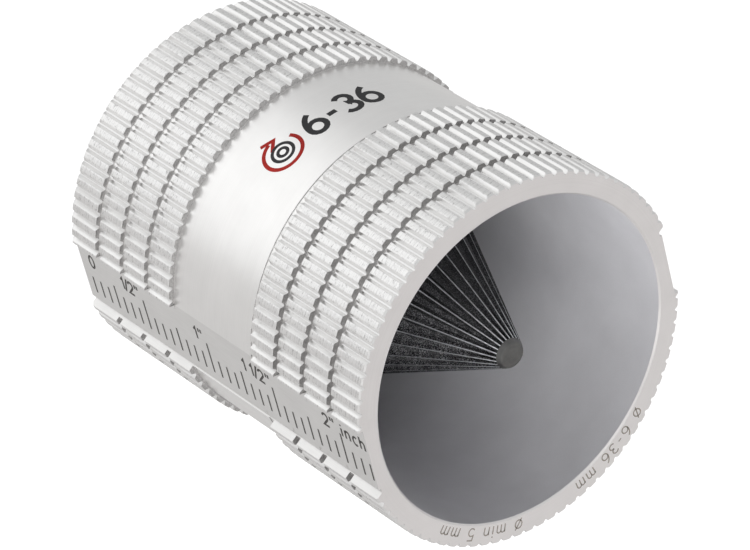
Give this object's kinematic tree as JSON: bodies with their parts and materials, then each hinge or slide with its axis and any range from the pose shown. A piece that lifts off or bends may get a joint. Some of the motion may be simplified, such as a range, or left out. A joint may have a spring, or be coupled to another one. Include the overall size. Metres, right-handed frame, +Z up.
{
  "type": "deburring tool",
  "caption": "Hand tool that trims a cut pipe end inside and out: a knurled aluminium sleeve holds a star of steel blades, a cone at the mouth and a funnel behind.",
  "frame": {"origin": "on the tool's axis at mid-length, which is the centre of its box", "axes": "+Y along the tool's axis towards the rear face, so the mouth faces -Y; +Z up with the tool lying on its side; the ruler flat faces -X, 15 degrees below level"},
  "size_m": [0.0456, 0.056, 0.0456],
  "materials": {
    "satin_aluminium": "bright satin, fine turned and drawn marks",
    "black_carrier": "black oxide, fine granular",
    "blade_steel": "blackened flanks with bright ground edges",
    "dark_rivet": "dark, lightly turned",
    "plain_steel": "turned, zinc grey"
  },
  "bodies": {
    "root": {"body_sleeve": "satin_aluminium", "blade_carrier": "black_carrier", "blade_01": "blade_steel", "blade_02": "blade_steel", "blade_03": "blade_steel", "blade_04": "blade_steel", "blade_05": "blade_steel", "blade_06": "blade_steel", "blade_07": "blade_steel", "blade_08": "blade_steel", "blade_09": "blade_steel", "blade_10": "blade_steel", "blade_11": "blade_steel", "blade_12": "blade_steel", "blade_13": "blade_steel", "blade_14": "blade_steel", "blade_15": "blade_steel", "blade_16": "blade_steel", "blade_17": "blade_steel", "blade_18": "blade_steel", "blade_19": "blade_steel", "blade_20": "blade_steel", "blade_21": "blade_steel", "blade_22": "blade_steel", "blade_23": "blade_steel", "blade_24": "blade_steel", "retaining_ring": "plain_steel", "hub_collar": "plain_steel", "nose_rivet": "dark_rivet", "key_pins": "plain_steel"}
  },
  "joints": []
}
